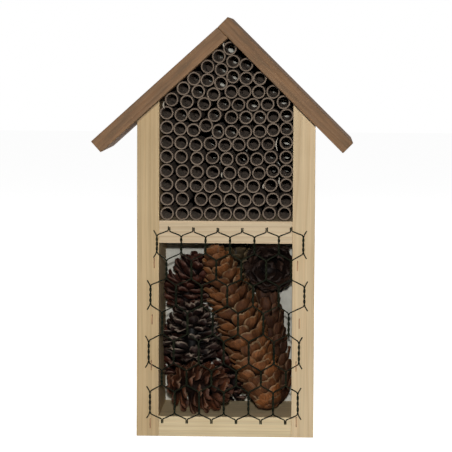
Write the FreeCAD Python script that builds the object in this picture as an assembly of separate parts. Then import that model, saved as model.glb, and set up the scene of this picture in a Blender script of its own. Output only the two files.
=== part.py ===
import FreeCAD, Part
import math
import os

# A small gable-roofed insect hotel.  Millimetres, +Z up, the front faces -Y.
# Origin: middle of the underside that it stands on.  The upper room is filled
# with cardboard nesting tubes, the lower room with cones behind wire netting.

# ---- driving dimensions -------------------------------------------------
BODY_WIDTH = 128.0
FRAME_DEPTH = 80.0
SIDE_THICKNESS = 16.0
BASE_THICKNESS = 14.5
SHELF_UNDERSIDE = 140.4
SHELF_THICKNESS = 16.2
PANEL_THICKNESS = 4.0
PANEL_FOOT = 1.0
FRAME_EDGE_RADIUS = 0.4

ROOF_THICKNESS = 10.4
ROOF_PITCH_LEFT = 42.2
ROOF_PITCH_RIGHT = 44.75
ROOF_LENGTH_LEFT = 120.9
ROOF_LENGTH_RIGHT = 125.7
ROOF_OVERHANG = 20.0
RIDGE_X = 1.5
RIDGE_Z = 302.5
ROOF_EDGE_RADIUS = 0.5

TUBE_OD = 9.6
TUBE_ID = 7.6
TUBE_LENGTH = 75.0
TUBE_STACK_PITCH = 9.66
TUBE_ROOF_CLEARANCE = 0.1
SETTLING_ROUNDS = 400
TUBE_SETBACK = 2.0
TUBE_STAGGER = 2.5
TUBE_STAGGER_STEP = 0.618

WIRE_DIAMETER = 0.95
WIRE_TWIST_GAP = 1.05
NETTING_COLUMNS = 6
NETTING_STUB = 3.2
NETTING_STUB_SPREAD = 0.6
NETTING_BULGE = 1.3
NETTING_CLEARANCE = 0.1
NETTING_RISE = 3.0
NETTING_DROP = 3.6
NETTING_SAG = 1.6

NAIL_SHANK = 1.8
NAIL_HEAD = 3.6
NAIL_HEAD_THICKNESS = 1.0
ROOF_NAIL_LENGTH = 20.0
ROOF_NAIL_YS = (-26, 26)
RIDGE_NAIL_LENGTH = 30.0
RIDGE_NAIL_YS = (-42, -8, 26)
SIDE_NAIL_LENGTH = 34.0
SIDE_NAIL_YS = (-24, 24)
PIN_SHANK = 1.2
PIN_HEAD = 2.2
PIN_HEAD_THICKNESS = 0.6
PIN_LENGTH = 16.0
PIN_HEIGHTS = (24, 120, 205)
PIN_X = 24

STAPLE_CROWN = 6.0
STAPLE_WIRE = 0.7
STAPLE_LEG = 6.0
STAPLE_SLACK = 0.6

HANGER_WIDTH = 16.0
HANGER_HEIGHT = 40.0
HANGER_THICKNESS = 1.5
HANGER_Z = 252.0
HANGER_ENTRY_RADIUS = 4.5
HANGER_SLOT_RADIUS = 2.25
HANGER_SLOT_RISE = 9.0
HANGER_POCKET_RADIUS = 6.5
HANGER_POCKET_DEPTH = 3.0
HANGER_CORNER_RADIUS = 4.0
HANGER_SCREW_BELOW = 15.0
HANGER_SCREW_ABOVE = 16.5
SCREW_SHANK = 2.4
SCREW_HEAD = 5.0
SCREW_HEAD_THICKNESS = 1.2
SCREW_LENGTH = 5.0

# ---- derived levels ------------------------------------------------------
HALF_WIDTH = BODY_WIDTH / 2
INNER_HALF = HALF_WIDTH - SIDE_THICKNESS
FRONT_Y = -FRAME_DEPTH / 2
REAR_Y = FRAME_DEPTH / 2
PANEL_REAR_Y = REAR_Y + PANEL_THICKNESS
SHELF_TOP = SHELF_UNDERSIDE + SHELF_THICKNESS
SHELF_MIDDLE = SHELF_UNDERSIDE + SHELF_THICKNESS / 2
SIDE_MIDDLE_X = HALF_WIDTH - SIDE_THICKNESS / 2

LEFT_DOWN = (-math.cos(math.radians(ROOF_PITCH_LEFT)), -math.sin(math.radians(ROOF_PITCH_LEFT)))
RIGHT_DOWN = (math.cos(math.radians(ROOF_PITCH_RIGHT)), -math.sin(math.radians(ROOF_PITCH_RIGHT)))
LEFT_INWARD = (-LEFT_DOWN[1], LEFT_DOWN[0])
RIGHT_INWARD = (RIGHT_DOWN[1], -RIGHT_DOWN[0])

# ---- loose contents ------------------------------------------------------
# About where the middle of each tube lies, across and up, row by row from the
# shelf.  They settle against each other, the boards and the roof from there.
TUBE_ROWS = [
    [(-42.5, 161.5), (-31.5, 161.5), (-21.5, 161.5), (-11, 161.5), (-0.5, 161.5), (10, 161.5),
     (20, 161.5), (31, 162), (42, 162)],
    [(-42.5, 172), (-31.5, 172), (-18, 172), (-7.5, 171.5), (3, 171.5), (13.5, 171.5), (23.5, 172),
     (34, 172), (44, 171.5)],
    [(-43, 182.5), (-32, 182), (-21.5, 181.5), (-11.5, 181.5), (-0.5, 181.5), (9.5, 181.5),
     (19.5, 181.5), (32, 182.5), (43.5, 182.5)],
    [(-43, 192.5), (-31.5, 192), (-21, 192), (-9.5, 191.5), (2.5, 191), (13, 191), (23.5, 191),
     (33.5, 192.5), (43.5, 192.5)],
    [(-43, 202.5), (-32.5, 202.5), (-21, 201), (-10, 202), (0.5, 201), (11.5, 201), (22, 201),
     (32, 202.5), (43, 202.5)],
    [(-43, 213), (-32.5, 212.5), (-22, 211), (-11.5, 212), (-1, 211), (9, 211.5), (19.5, 212),
     (30, 212), (43, 213)],
    [(-43, 223.5), (-33, 222.5), (-23, 222), (-6, 221), (3, 220.5), (13.5, 220.5), (24, 221),
     (34, 222.5), (44.5, 223), (-14.5, 225)],
    [(-43, 234), (-32.5, 232.5), (-23, 232.5), (-9, 232), (3.5, 231), (14, 231), (24, 231),
     (34, 232), (44.5, 232.5)],
    [(-39.5, 243.5), (-28.5, 242), (-15.5, 241.5), (-2, 240.5), (8.5, 240), (19, 240), (30, 241),
     (41, 242)],
    [(-31.5, 252), (-20.5, 250), (-9, 248.5), (2.5, 250), (13, 249.5), (23, 250), (35, 250.5)],
    [(-24, 260), (-14, 258), (-4.5, 257.5), (4.5, 260), (13.5, 259.5), (24, 260)],
    [(-15, 268.5), (-4.5, 267), (5, 271.5), (15, 270)],
    [(-4.5, 276.5), (3.5, 282)],
]

# Each cone: its tip, its stem end, its largest radius, how far along from the
# stem it is fattest, and how full it still is halfway from there to the tip.
CONES = {
    "spruce_cone_long": ((-11, -19, 138), (33, -19, 19.5), 17.0, 0.45, 0.95),
    "spruce_cone_dark": ((25.5, 18, 118), (36.5, 20, 17), 12.6, 0.30, 0.84),
    "pine_cone_upper_right": ((31, -36, 121), (31.5, 3, 123), 16.0, 0.45, 0.84),
    "pine_cone_upper_left": ((-21, 4, 130), (-34, 9.5, 85), 16.3, 0.50, 0.84),
    "pine_cone_middle_left": ((-25, -19.5, 97), (-25, -20, 52), 18.6, 0.40, 0.84),
    "pine_cone_lower_left": ((4, -31, 33), (-41, -12, 33), 16.8, 0.50, 0.84),
    "pine_cone_rear_left": ((-31.5, 23, 84), (-31.5, 23, 26), 15.2, 0.50, 0.95),
    "pine_cone_rear_upper": ((6, 24.5, 139), (3, 24.5, 87), 12.6, 0.50, 0.90),
    "pine_cone_rear_lower": ((4, 23, 82), (6, 23, 18), 14.5, 0.50, 0.90),
}

# Left edge, right edge, top and bottom of each row of twisted sides in the
# netting, from the top row down.  Odd rows reach the two edges.
NETTING_ROWS = [
    (-49.5, 55.8, 147.0, 133.0),
    (-51.5, 56.2, 128.6, 114.5),
    (-54.0, 56.8, 110.3, 95.3),
    (-54.6, 54.8, 90.6, 74.6),
    (-55.2, 53.2, 70.0, 53.2),
    (-54.6, 52.8, 48.6, 37.4),
    (-54.2, 52.6, 33.2, 16.4),
]

# Where the upright staples stand that hold the netting's two edges to the
# side boards.
STAPLE_PLACES = [
    (-51.4, 125.9), (-52.8, 85.1), (-53.3, 51.8), (-54.0, 9.5),
    (51.8, 124.7), (53.3, 83.0), (51.2, 51.9), (51.6, 11.5),
]

# How full every cone is beside its stem, halfway to its fattest place, and
# beside the tip, as shares of its largest radius.
CONE_STEM_SHARE = 0.62
CONE_SHOULDER_SHARE = 0.93
CONE_TIP_SHARE = 0.50
CONE_END_LENGTH = 0.05


# ---- helpers -------------------------------------------------------------
def along(origin, direction, distance):
    return (origin[0] + direction[0] * distance, origin[1] + direction[1] * distance)


def prism(outline, y_from, y_to):
    points = [FreeCAD.Vector(x, y_from, z) for x, z in outline]
    face = Part.Face(Part.makePolygon(points + [points[0]]))
    return face.extrude(FreeCAD.Vector(0, y_to - y_from, 0))


def eased(solid, radius):
    return solid.makeFillet(radius, solid.Edges)


def box(x_from, x_to, y_from, y_to, z_from, z_to):
    size = (x_to - x_from, y_to - y_from, z_to - z_from)
    return Part.makeBox(*size, FreeCAD.Vector(x_from, y_from, z_from))


def fastener(head_at, direction, length, shank, head, head_thickness):
    """A flush-headed nail, pin or screw: head_at is the middle of its outer face."""
    axis = FreeCAD.Vector(*direction).normalize()
    start = FreeCAD.Vector(*head_at)
    body = Part.makeCylinder(head / 2, head_thickness, start, axis)
    stem = Part.makeCylinder(shank / 2, length - shank, start, axis)
    point = Part.makeCone(shank / 2, 0.0, shank, start + axis * (length - shank), axis)
    return body.fuse([stem, point]).removeSplitter()


def nail(head_at, direction, length):
    return fastener(head_at, direction, length, NAIL_SHANK, NAIL_HEAD, NAIL_HEAD_THICKNESS)


def pin(head_at, direction, length):
    return fastener(head_at, direction, length, PIN_SHANK, PIN_HEAD, PIN_HEAD_THICKNESS)


def roof_underside(x):
    """Height of the roof's underside above a place across the body."""
    left = inner_apex[1] - (inner_apex[0] - x) * math.tan(math.radians(ROOF_PITCH_LEFT))
    right = inner_apex[1] - (x - inner_apex[0]) * math.tan(math.radians(ROOF_PITCH_RIGHT))
    return min(left, right)


def save(name, solids):
    shape = solids[0] if len(solids) == 1 else Part.makeCompound(solids)
    shape.exportStep("parts/%s.step" % name)


# ---- roof lines ----------------------------------------------------------
ridge = (RIDGE_X, RIDGE_Z)
joint_top = along(ridge, RIGHT_INWARD, ROOF_THICKNESS)
spread = math.radians(ROOF_PITCH_LEFT + ROOF_PITCH_RIGHT)
inner_apex = along(joint_top, RIGHT_DOWN, ROOF_THICKNESS / math.sin(spread))


# ---- boards --------------------------------------------------------------
def roof_board_right():
    eave_top = along(ridge, RIGHT_DOWN, ROOF_LENGTH_RIGHT)
    eave_low = along(eave_top, RIGHT_INWARD, ROOF_THICKNESS)
    outline = [ridge, eave_top, eave_low, joint_top]
    return eased(prism(outline, FRONT_Y - ROOF_OVERHANG, PANEL_REAR_Y), ROOF_EDGE_RADIUS)


def roof_board_left():
    eave_top = along(joint_top, LEFT_DOWN, ROOF_LENGTH_LEFT)
    eave_low = along(eave_top, LEFT_INWARD, ROOF_THICKNESS)
    outline = [joint_top, eave_top, eave_low, inner_apex]
    return eased(prism(outline, FRONT_Y - ROOF_OVERHANG, PANEL_REAR_Y), ROOF_EDGE_RADIUS)


def side_board(side):
    inner = side * INNER_HALF
    outer = side * HALF_WIDTH
    outline = [(inner, 0), (outer, 0), (outer, roof_underside(outer)), (inner, roof_underside(inner))]
    return eased(prism(outline, FRONT_Y, REAR_Y), FRAME_EDGE_RADIUS)


def base_board():
    return eased(box(-INNER_HALF, INNER_HALF, FRONT_Y, REAR_Y, 0, BASE_THICKNESS), FRAME_EDGE_RADIUS)


def middle_shelf():
    shelf = box(-INNER_HALF, INNER_HALF, FRONT_Y, REAR_Y, SHELF_UNDERSIDE, SHELF_TOP)
    return eased(shelf, FRAME_EDGE_RADIUS)


def back_panel():
    left_top = (-HALF_WIDTH, roof_underside(-HALF_WIDTH))
    right_top = (HALF_WIDTH, roof_underside(HALF_WIDTH))
    outline = [(-HALF_WIDTH, PANEL_FOOT), (HALF_WIDTH, PANEL_FOOT), right_top, inner_apex, left_top]
    pocket_floor = PANEL_REAR_Y - HANGER_POCKET_DEPTH
    pocket = Part.makeCylinder(
        HANGER_POCKET_RADIUS, HANGER_POCKET_DEPTH,
        FreeCAD.Vector(0, pocket_floor, HANGER_Z), FreeCAD.Vector(0, 1, 0))
    relief = box(
        -HANGER_POCKET_RADIUS, HANGER_POCKET_RADIUS, pocket_floor, PANEL_REAR_Y,
        HANGER_Z, HANGER_Z + HANGER_SLOT_RISE)
    cap = pocket.translated(FreeCAD.Vector(0, 0, HANGER_SLOT_RISE))
    return prism(outline, REAR_Y, PANEL_REAR_Y).cut(pocket.fuse([relief, cap]).removeSplitter())


# ---- fasteners -----------------------------------------------------------
def roof_nails(side):
    down, inward = (LEFT_DOWN, LEFT_INWARD) if side < 0 else (RIGHT_DOWN, RIGHT_INWARD)
    x = side * SIDE_MIDDLE_X
    foot = (x, roof_underside(x))
    top = along(foot, inward, -ROOF_THICKNESS)
    direction = (inward[0], 0, inward[1])
    return [nail((top[0], y, top[1]), direction, ROOF_NAIL_LENGTH) for y in ROOF_NAIL_YS]


def ridge_nails():
    middle = ROOF_THICKNESS / 2
    start = along(ridge, RIGHT_DOWN, middle)
    direction = (RIGHT_INWARD[0], 0, RIGHT_INWARD[1])
    return [nail((start[0], y, start[1]), direction, RIDGE_NAIL_LENGTH) for y in RIDGE_NAIL_YS]


def side_nails(side, z):
    direction = (-side, 0, 0)
    return [nail((side * HALF_WIDTH, y, z), direction, SIDE_NAIL_LENGTH) for y in SIDE_NAIL_YS]


def panel_pins():
    places = [(x, z) for x in (-SIDE_MIDDLE_X, SIDE_MIDDLE_X) for z in PIN_HEIGHTS]
    places += [(x, z) for x in (-PIN_X, PIN_X) for z in (BASE_THICKNESS / 2, SHELF_MIDDLE)]
    return [pin((x, PANEL_REAR_Y, z), (0, -1, 0), PIN_LENGTH) for x, z in places]


def staple(x, z):
    half = STAPLE_CROWN / 2
    left, right = x - STAPLE_WIRE / 2, x + STAPLE_WIRE / 2
    out = FRONT_Y - WIRE_DIAMETER - STAPLE_SLACK
    leg_end = FRONT_Y + STAPLE_LEG
    crown = box(left, right, out - STAPLE_WIRE, out, z - half, z + half)
    low_leg = box(left, right, out, leg_end, z - half, z - half + STAPLE_WIRE)
    top_leg = box(left, right, out, leg_end, z + half - STAPLE_WIRE, z + half)
    return crown.fuse([low_leg, top_leg]).removeSplitter()


# ---- wall hanger ---------------------------------------------------------
def hanger_plate():
    plate = box(
        -HANGER_WIDTH / 2, HANGER_WIDTH / 2,
        PANEL_REAR_Y, PANEL_REAR_Y + HANGER_THICKNESS,
        HANGER_Z - HANGER_HEIGHT / 2, HANGER_Z + HANGER_HEIGHT / 2)
    corners = [edge for edge in plate.Edges if abs(edge.tangentAt(edge.FirstParameter).y) > 0.9]
    plate = plate.makeFillet(HANGER_CORNER_RADIUS, corners)
    rear = FreeCAD.Vector(0, 1, 0)
    entry = Part.makeCylinder(
        HANGER_ENTRY_RADIUS, HANGER_THICKNESS, FreeCAD.Vector(0, PANEL_REAR_Y, HANGER_Z), rear)
    slot_end = Part.makeCylinder(
        HANGER_SLOT_RADIUS, HANGER_THICKNESS,
        FreeCAD.Vector(0, PANEL_REAR_Y, HANGER_Z + HANGER_SLOT_RISE), rear)
    slot = box(
        -HANGER_SLOT_RADIUS, HANGER_SLOT_RADIUS,
        PANEL_REAR_Y, PANEL_REAR_Y + HANGER_THICKNESS,
        HANGER_Z, HANGER_Z + HANGER_SLOT_RISE)
    return plate.cut(entry.fuse([slot_end, slot]).removeSplitter())


def hanger_screws():
    screws = []
    for z in (HANGER_Z - HANGER_SCREW_BELOW, HANGER_Z + HANGER_SCREW_ABOVE):
        head_y = PANEL_REAR_Y + HANGER_THICKNESS + SCREW_HEAD_THICKNESS
        screws.append(fastener(
            (0, head_y, z), (0, -1, 0), SCREW_LENGTH + SCREW_HEAD_THICKNESS,
            SCREW_SHANK, SCREW_HEAD, SCREW_HEAD_THICKNESS))
    return screws


# ---- nesting tubes -------------------------------------------------------
def tube(x, z, front):
    start = FreeCAD.Vector(x, front, z)
    axis = FreeCAD.Vector(0, 1, 0)
    outer = Part.makeCylinder(TUBE_OD / 2, TUBE_LENGTH, start, axis)
    return outer.cut(Part.makeCylinder(TUBE_ID / 2, TUBE_LENGTH, start, axis))


def kept_in_room(x, z):
    """The nearest place to this one where a tube is clear of the boards and the roof."""
    radius = TUBE_STACK_PITCH / 2
    x = min(max(x, radius - INNER_HALF), INNER_HALF - radius)
    z = max(z, SHELF_TOP + radius)
    for inward in (LEFT_INWARD, RIGHT_INWARD):
        depth = (x - inner_apex[0]) * inward[0] + (z - inner_apex[1]) * inward[1]
        short = max(0.0, radius + TUBE_ROOF_CLEARANCE - depth)
        x += inward[0] * short
        z += inward[1] * short
    return x, z


def settled(places):
    """Eases crowded tubes apart until none overlap."""
    for _ in range(SETTLING_ROUNDS):
        for first in range(len(places)):
            for second in range(first):
                across = places[first][0] - places[second][0]
                upward = places[first][1] - places[second][1]
                apart = math.hypot(across, upward)
                if apart < TUBE_STACK_PITCH:
                    push = (TUBE_STACK_PITCH - apart) / (2 * apart)
                    places[first] = along(places[first], (across, upward), push)
                    places[second] = along(places[second], (across, upward), -push)
        places = [kept_in_room(x, z) for x, z in places]
    return places


def tube_places():
    """The settled middles of the tubes, row by row."""
    places = settled([place for row in TUBE_ROWS for place in row])
    rows = []
    for row in TUBE_ROWS:
        rows.append(places[:len(row)])
        places = places[len(row):]
    return rows


def tube_rows():
    rows = []
    placed = 0
    for places in tube_places():
        tubes = []
        for x, z in places:
            placed += 1
            stagger = (placed * TUBE_STAGGER_STEP) % 1.0 * TUBE_STAGGER
            tubes.append(tube(x, z, FRONT_Y + TUBE_SETBACK + stagger))
        rows.append(tubes)
    return rows


# ---- cones ---------------------------------------------------------------
def cone_body(tip, stem, radius, fattest, slope):
    """The plain outer shape that a cone's scales fill, round about its own axis."""
    tip = FreeCAD.Vector(*tip)
    stem = FreeCAD.Vector(*stem)
    length = (tip - stem).Length
    profile = [
        (0.0, 0.0),
        (radius * CONE_STEM_SHARE, length * CONE_END_LENGTH),
        (radius * CONE_SHOULDER_SHARE, length * fattest / 2),
        (radius, length * fattest),
        (radius * slope, length * (fattest + 1) / 2),
        (radius * CONE_TIP_SHARE, length * (1 - CONE_END_LENGTH)),
        (0.0, length),
    ]
    curve = Part.BSplineCurve()
    curve.interpolate([FreeCAD.Vector(r, 0, h) for r, h in profile])
    axis_line = Part.LineSegment(FreeCAD.Vector(0, 0, length), FreeCAD.Vector(0, 0, 0))
    face = Part.Face(Part.Wire([curve.toShape(), axis_line.toShape()]))
    solid = face.revolve(FreeCAD.Vector(0, 0, 0), FreeCAD.Vector(0, 0, 1), 360)
    turn = FreeCAD.Rotation(FreeCAD.Vector(0, 0, 1), tip - stem)
    solid.Placement = FreeCAD.Placement(stem, turn)
    return solid


# ---- wire netting --------------------------------------------------------
def netting_x(row, position):
    left, right = NETTING_ROWS[row][:2]
    return left + (right - left) * position / NETTING_COLUMNS


def netting_point(x, z):
    across = math.cos(math.pi * x / BODY_WIDTH)
    upward = math.sin(math.pi * z / SHELF_TOP)
    bulge = NETTING_BULGE * max(0.0, across) * max(0.0, upward)
    return FreeCAD.Vector(x, FRONT_Y - WIRE_DIAMETER / 2 - NETTING_CLEARANCE - bulge, z)


def wire_through(points):
    path = Part.makePolygon(points)
    direction = points[1] - points[0]
    ring = Part.Wire(Part.makeCircle(WIRE_DIAMETER / 2, points[0], direction))
    return path.makePipeShell([ring], True, False, 2)


def twist_pair(row, wire):
    """The column of the twisted side that a wire shares in a row, and the wire's side of it."""
    if row % 2 == 0:
        return wire // 2, -1 if wire % 2 == 0 else 1
    return (wire + 1) // 2 - 0.5, 1 if wire % 2 == 0 else -1


def twisted_side(row, wire):
    position, side = twist_pair(row, wire)
    x = netting_x(row, position) + side * WIRE_TWIST_GAP / 2
    top, bottom = NETTING_ROWS[row][2:]
    if row == 0:
        top -= NETTING_SAG * math.cos(math.pi * x / BODY_WIDTH)
    return [netting_point(x, top), netting_point(x, bottom)]


def stub(x, z, side, rise):
    """The cut end of a wire beyond a twisted side."""
    return netting_point(x + side * NETTING_STUB * NETTING_STUB_SPREAD, z + rise * NETTING_STUB)


def long_wire(wire):
    points = []
    for row in range(len(NETTING_ROWS)):
        points += twisted_side(row, wire)
    top_step = netting_x(0, (wire + 1) // 2 - 0.5)
    low_step = netting_x(len(NETTING_ROWS) - 1, (wire + 1) // 2 - 0.5)
    side = WIRE_TWIST_GAP / 2 if wire % 2 == 0 else -WIRE_TWIST_GAP / 2
    top = points[0].z + NETTING_RISE
    low = points[-1].z - NETTING_DROP
    start = [netting_point(top_step + side, top + NETTING_STUB), netting_point(top_step + side, top)]
    end = [netting_point(low_step + side, low), netting_point(low_step + side, low - NETTING_STUB)]
    return wire_through(start + points + end)


def edge_wires(wire):
    outward = -1 if wire == 0 else 1
    pieces = []
    for row in range(0, len(NETTING_ROWS), 2):
        points = twisted_side(row, wire)
        top = stub(points[0].x, points[0].z, outward, 1)
        low = stub(points[-1].x, points[-1].z, outward, -1)
        pieces.append(wire_through([top] + points + [low]))
    return pieces


def wire_mesh():
    last = NETTING_COLUMNS * 2 + 1
    wires = [long_wire(wire) for wire in range(1, last)]
    return wires + edge_wires(0) + edge_wires(last)


# ---- assembly ------------------------------------------------------------
def holed(board, tools):
    for tool in tools:
        board = board.cut(tool)
    return board


def main():
    os.makedirs("parts", exist_ok=True)
    fasteners = {
        "roof_nails_left": roof_nails(-1),
        "roof_nails_right": roof_nails(1),
        "ridge_nails": ridge_nails(),
        "shelf_nails_left": side_nails(-1, SHELF_MIDDLE),
        "shelf_nails_right": side_nails(1, SHELF_MIDDLE),
        "base_nails_left": side_nails(-1, BASE_THICKNESS / 2),
        "base_nails_right": side_nails(1, BASE_THICKNESS / 2),
        "back_panel_pins": panel_pins(),
        "mesh_staples": [staple(*place) for place in STAPLE_PLACES],
        "hanger_screws": hanger_screws(),
    }
    boards = {
        "side_board_left": side_board(-1),
        "side_board_right": side_board(1),
        "base_board": base_board(),
        "middle_shelf": middle_shelf(),
        "roof_board_left": roof_board_left(),
        "roof_board_right": roof_board_right(),
        "back_panel": back_panel(),
        "hanger_plate": hanger_plate(),
    }
    tools = [solid for group in fasteners.values() for solid in group]
    for name, board in boards.items():
        near = [tool for tool in tools if board.distToShape(tool)[0] < 0.01]
        save(name, [holed(board, near)])
    for name, solids in fasteners.items():
        save(name, solids)
    for number, tubes in enumerate(tube_rows(), start=1):
        save("tube_row_%02d" % number, tubes)
    for name, measures in CONES.items():
        save(name, [cone_body(*measures)])
    save("wire_mesh", wire_mesh())


main()
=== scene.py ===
"""The insect hotel's detailed pieces, materials, light and camera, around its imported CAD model.

Metres, +Z up, the front faces -Y. The boards, nails and hanger are the CAD's own solids with
wood and steel materials. The tubes, cones, netting and staples are modelled here in detail.
"""

import bpy
import bmesh
import math
import random
from mathutils import Matrix, Vector, noise


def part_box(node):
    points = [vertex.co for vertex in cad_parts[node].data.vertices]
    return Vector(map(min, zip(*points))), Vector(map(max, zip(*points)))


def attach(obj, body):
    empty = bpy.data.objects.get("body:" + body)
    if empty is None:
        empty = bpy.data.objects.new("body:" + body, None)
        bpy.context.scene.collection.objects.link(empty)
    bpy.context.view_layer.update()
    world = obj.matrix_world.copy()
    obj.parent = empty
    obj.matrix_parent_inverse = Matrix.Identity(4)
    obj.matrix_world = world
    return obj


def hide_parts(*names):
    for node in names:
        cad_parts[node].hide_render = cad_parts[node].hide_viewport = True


MM = 0.001
GOLDEN_ANGLE = math.radians(137.508)
UP = Vector((0, 0, 1))

# ---- camera and light ----------------------------------------------------
CAMERA_TARGET = Vector((0.00017, -0.040, 0.15298))
CAMERA_DISTANCE = 1.684
CAMERA_AZIMUTH = math.radians(2.186)
CAMERA_ELEVATION = math.radians(4.392)
CAMERA_ROLL = math.radians(0.281)
CAMERA_LENS = 186.65
KEY_ABOVE_LENS = 0.090
KEY_SIZE = 0.030
KEY_POWER = 18.0
SKY_STRENGTH = 0.05

# ---- boards: how the grain lies, the roof's slopes, pale and late wood ------
UPRIGHT = (0, 0, 0)
LYING = (0, math.radians(90), 0)
LEFT_PITCH = math.radians(42.2)
RIGHT_PITCH = math.radians(44.75)
PINE = {
    "left": ((0.685, 0.515, 0.285), (0.54, 0.35, 0.165)),
    "right": ((0.83, 0.655, 0.41), (0.69, 0.475, 0.255)),
    "shelf": ((0.79, 0.64, 0.43), (0.66, 0.46, 0.27)),
    "base": ((0.88, 0.73, 0.46), (0.74, 0.54, 0.30)),
    "roof": ((0.76, 0.60, 0.37), (0.60, 0.41, 0.215)),
}
STAINS = [(0.225, 0.165, 0.115), (0.34, 0.235, 0.165), (0.43, 0.295, 0.205)]
# How far the painted shade under the roof boards reaches down each post's sloping top.
PAINTED_SHADE_REACH = 1.6 * MM

# ---- card tubes ----------------------------------------------------------
TUBE_WALL = 1.05 * MM
TUBE_LEAN = 0.7 * MM
TUBE_SIDES = 48
TUBE_SWELL = 0.020
TUBE_WRAP_PITCH = 21 * MM
OVAL_TUBE = (7, -6.1 * MM)
OVAL_SHARE = 0.09
# Depths and reach of the near-black collar that paints shade into the gaps between the tubes' rear
# ends.
SHADE_FILL_FRONT = 33.5 * MM
SHADE_FILL_REAR = 36.5 * MM
SHADE_FILL_REACH = 6.0 * MM
PLUG_FRONT = 57.0 * MM
PLUG_REAR = 59.5 * MM

# The tubes in each row whose rear ends the near-black plug leaves open, counted from the left.
OPEN_TUBES = {
    1: (8,), 2: (8,), 3: (8,), 4: (4, 8, 9), 5: (4, 6, 8, 9), 6: (4, 9), 7: (5, 6, 7, 8, 10),
    8: (2, 4, 5, 6, 7, 9), 9: (4, 5, 6, 8), 10: (2, 7), 11: (1, 2, 3, 4, 5), 12: (2, 3, 4),
    13: (1, 2),
}
LOW_ROWS = range(2, 7)
LOW_ROW_DROP = 2.0 * MM

# Torn slivers of card beside tubes: middle, height and how far each bows to the left.
TORN_CARD = [
    (37.3, 211.8, 9.5, 1.6), (-44.4, 239.6, 5.0, 0.9), (-2.9, 189.6, 3.6, 0.3),
    (38.4, 185.4, 5.2, 0.4), (27.1, 181.6, 3.6, 0.5), (-2.0, 282.7, 3.0, 0.4),
]

# ---- cones: tip, stem end, largest radius, where it is fattest, how full it stays -
CONES = {
    "spruce_cone_long": ((-11, -19, 138), (33, -19, 19.5), 17.0, 0.45, 0.95),
    "spruce_cone_dark": ((25.5, 18, 118), (36.5, 20, 17), 12.6, 0.30, 0.84),
    "pine_cone_upper_right": ((31, -36, 121), (31.5, 3, 123), 16.0, 0.45, 0.84),
    "pine_cone_upper_left": ((-21, 4, 130), (-34, 9.5, 85), 16.3, 0.50, 0.84),
    "pine_cone_middle_left": ((-25, -19.5, 97), (-25, -20, 52), 18.6, 0.40, 0.84),
    "pine_cone_lower_left": ((4, -31, 33), (-41, -12, 33), 16.8, 0.50, 0.84),
    "pine_cone_rear_left": ((-31.5, 23, 84), (-31.5, 23, 26), 15.2, 0.50, 0.95),
    "pine_cone_rear_upper": ((6, 24.5, 139), (3, 24.5, 87), 12.6, 0.50, 0.90),
    "pine_cone_rear_lower": ((4, 23, 82), (6, 23, 18), 14.5, 0.50, 0.90),
}

ROOM_MARGIN = 0.3 * MM

# Each look: body colour, colour near the base (painted shade where the scales overlap), colour of the
# margin and how strong that is.
CONE_LOOKS = {
    "orange_brown_scales": (
        (0.186, 0.076, 0.027), (0.020, 0.009, 0.005), (0.50, 0.37, 0.21), 0.5,
    ),
    "umber_scales": (
        (0.078, 0.034, 0.017), (0.026, 0.011, 0.006), (0.27, 0.17, 0.09), 0.5,
    ),
    "grey_olive_scales": (
        (0.075, 0.055, 0.028), (0.020, 0.014, 0.008), (0.22, 0.18, 0.10), 0.5,
    ),
    "sooty_scales": (
        (0.027, 0.014, 0.010), (0.010, 0.005, 0.004), (0.10, 0.08, 0.07), 0.3,
    ),
    "dark_brown_scales": (
        (0.046, 0.013, 0.008), (0.009, 0.003, 0.003), (0.34, 0.22, 0.17), 0.4,
    ),
    "black_brown_scales": (
        (0.015, 0.006, 0.005), (0.003, 0.002, 0.002), (0.55, 0.43, 0.33), 0.55,
    ),
    "russet_scales": (
        (0.106, 0.038, 0.018), (0.017, 0.007, 0.004), (0.34, 0.22, 0.14), 0.45,
    ),
}

# ---- netting: left edge, right edge, top and bottom of each row of twists -
WIRE_RADIUS = 0.45 * MM
TWIST_RADIUS = 0.49 * MM
TWIST_TURNS = 2
NETTING_COLUMNS = 6
NETTING_STUB = 3.2 * MM
NETTING_BULGE = 1.3 * MM
NETTING_RISE = 3.0 * MM
NETTING_DROP = 3.6 * MM
NETTING_SAG = 1.6 * MM
NETTING_ROWS = [
    (-49.5, 55.8, 147.0, 133.0),
    (-51.5, 56.2, 128.6, 114.5),
    (-54.0, 56.8, 110.3, 95.3),
    (-54.6, 54.8, 90.6, 74.6),
    (-55.2, 53.2, 70.0, 53.2),
    (-54.6, 52.8, 48.6, 37.4),
    (-54.2, 52.6, 33.2, 16.4),
]


# ---- meshes --------------------------------------------------------------
class Shells:
    """Gathers closed shells into one mesh, with named numbers on each vertex for the material."""

    def __init__(self, marks=()):
        self.names = marks
        self.points = []
        self.faces = []
        self.marks = []

    def add(self, points, faces, marks=None):
        start = len(self.points)
        self.points += points
        self.faces += [tuple(start + corner for corner in face) for face in faces]
        self.marks += marks or [()] * len(points)

    def piece(self, name, material, nodes=(), smooth_angle=40):
        mesh = bpy.data.meshes.new(name)
        mesh.from_pydata(self.points, [], self.faces)
        for place, mark in enumerate(self.names):
            values = mesh.attributes.new(mark, "FLOAT", "POINT")
            values.data.foreach_set("value", [marks[place] for marks in self.marks])
        work = bmesh.new()
        work.from_mesh(mesh)
        bmesh.ops.recalc_face_normals(work, faces=work.faces)
        work.to_mesh(mesh)
        work.free()
        mesh.shade_smooth()
        mesh.set_sharp_from_angle(angle=math.radians(smooth_angle))
        made = bpy.data.objects.new(name, mesh)
        bpy.context.scene.collection.objects.link(made)
        mesh.materials.append(material)
        if nodes:
            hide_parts(*nodes)
        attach(made, "root")
        return made


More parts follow.
